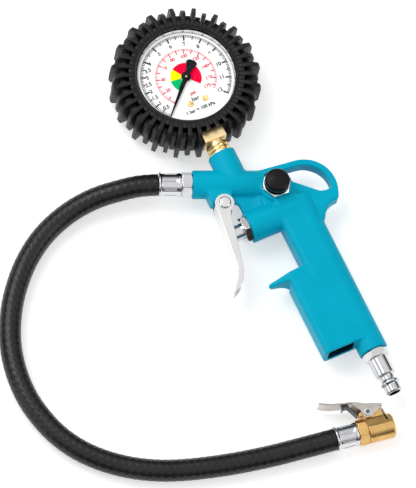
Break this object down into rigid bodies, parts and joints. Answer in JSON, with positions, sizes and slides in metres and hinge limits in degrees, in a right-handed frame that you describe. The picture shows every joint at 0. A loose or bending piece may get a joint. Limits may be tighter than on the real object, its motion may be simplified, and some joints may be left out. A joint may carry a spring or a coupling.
{
  "type": "tyre inflator gun with gauge",
  "caption": "Hand-held tyre inflator with a rubber-booted pressure gauge, trigger valve, bleed button, hose and clip-on tyre chuck.",
  "frame": {"origin": "centre of the flat back of the gauge's rubber boot, on the gauge's axis, where the tool lies on a table", "axes": "+Z out of the dial and up from the table, -X along the barrel towards the hose, -Y from the gauge towards the handle"},
  "size_m": [0.2347, 0.2919, 0.0316],
  "materials": {
    "gun_paint": "smooth satin cyan-blue paint over a die casting",
    "plated_steel": "bright nickel plating",
    "pin_steel": "bright turned steel",
    "trigger_metal": "satin zinc-plated sheet steel",
    "lever_steel": "satin nickel-plated sheet steel",
    "spring_steel": "dark spring steel",
    "hose_rubber": "matt black rubber with the print of a cloth wrap",
    "boot_rubber": "matt black moulded rubber",
    "seal_rubber": "black sealing rubber",
    "button_plastic": "satin black cap",
    "chuck_brass": "turned brass, slightly aged",
    "stem_brass": "bright machined brass",
    "inner_brass": "plain brass",
    "dial_brass": "bright brass screw heads",
    "case_steel": "pressed steel",
    "bezel_silver": "silver ring",
    "lens_clear": "clear lens",
    "dial_white": "white dial sheet printed in black, red, yellow and green",
    "pointer_black": "matt black pointer"
  },
  "bodies": {
    "gun": {"gun_body": "gun_paint", "hose_nipple": "plated_steel", "hose_ferrule_gun": "plated_steel", "hose": "hose_rubber", "hose_ferrule_chuck": "plated_steel", "chuck_connector": "chuck_brass", "chuck_body": "chuck_brass", "chuck_rivet": "lever_steel", "chuck_seal": "seal_rubber", "chuck_depressor": "inner_brass", "trigger_pin": "pin_steel", "trigger_pin_ring": "spring_steel", "valve_gland": "plated_steel", "gland_oring": "seal_rubber", "valve_seat": "inner_brass", "valve_spring": "spring_steel", "bleed_nut": "plated_steel", "bleed_spring": "spring_steel", "inlet_plug": "plated_steel", "gauge_boot": "boot_rubber", "gauge_case": "case_steel", "gauge_bezel": "bezel_silver", "gauge_lens": "lens_clear", "dial_plate": "dial_white", "dial_screws": "dial_brass", "gauge_stem": "stem_brass", "bourdon_tube": "inner_brass", "tube_tip": "inner_brass", "movement_base": "inner_brass", "movement_bridge": "inner_brass", "movement_pillar": "inner_brass", "movement_screws": "pin_steel", "hairspring": "inner_brass"},
    "trigger": {"trigger": "trigger_metal"},
    "plunger": {"valve_plunger": "pin_steel", "valve_poppet": "inner_brass", "poppet_seal": "seal_rubber"},
    "bleed_valve": {"bleed_button": "button_plastic", "bleed_stem": "inner_brass", "bleed_seal": "seal_rubber"},
    "chuck_lever": {"chuck_lever": "lever_steel", "chuck_spring": "spring_steel", "chuck_clip_pin": "lever_steel"},
    "chuck_clip": {"chuck_clip": "lever_steel"},
    "sector": {"sector_gear": "inner_brass"},
    "pointer": {"pointer": "pointer_black", "pinion_arbor": "inner_brass"},
    "link": {"sector_link": "inner_brass"}
  },
  "joints": [
    {"name": "trigger_hinge", "type": "hinge", "parent": "gun", "child": "trigger", "pos_m": [0.02021, -0.07931, 0.014], "axis": [0, 0, 1], "range_deg": [0, 12], "stiffness_Nm_per_rad": 0.5, "springref_deg": -11.46},
    {"name": "plunger_slide", "type": "slide", "parent": "gun", "child": "plunger", "axis": [0.9171, 0.3987, 0], "range_m": [0, 0.0038], "deforming": ["valve_spring"]},
    {"name": "bleed_slide", "type": "slide", "parent": "gun", "child": "bleed_valve", "axis": [0, 0, -1], "range_m": [0, 0.0018], "stiffness_N_per_m": 800, "springref_m": -0.0015, "deforming": ["bleed_spring"]},
    {"name": "lever_hinge", "type": "hinge", "parent": "gun", "child": "chuck_lever", "pos_m": [0.10011, -0.20713, 0.0078], "axis": [0, 0, 1], "range_deg": [0, 12], "stiffness_Nm_per_rad": 0.3, "springref_deg": -11.46},
    {"name": "clip_hinge", "type": "hinge", "parent": "chuck_lever", "child": "chuck_clip", "pos_m": [0.1075, -0.20254, 0.0078], "axis": [0, 0, 1], "range_deg": [-12, 0]},
    {"name": "sector_hinge", "type": "hinge", "parent": "gun", "child": "sector", "pos_m": [0.00538, -0.01238, 0.015], "axis": [0, 0, 1], "range_deg": [0, 33.75], "stiffness_Nm_per_rad": 0.001, "springref_deg": -2.86},
    {"name": "pointer_hinge", "type": "hinge", "parent": "gun", "child": "pointer", "pos_m": [0, 0, 0.023], "axis": [0, 0, 1], "range_deg": [-270, 0]},
    {"name": "link_hinge", "type": "hinge", "parent": "sector", "child": "link", "pos_m": [0.01122, -0.01098, 0.0155], "axis": [0, 0, 1], "range_deg": [-33.75, 0]}
  ],
  "couplings": [
    {"joint": "plunger_slide", "follows": "trigger_hinge", "m_per_rad": 0.018},
    {"joint": "clip_hinge", "follows": "lever_hinge", "ratio": -1},
    {"joint": "pointer_hinge", "follows": "sector_hinge", "ratio": -8},
    {"joint": "link_hinge", "follows": "sector_hinge", "ratio": -1}
  ]
}
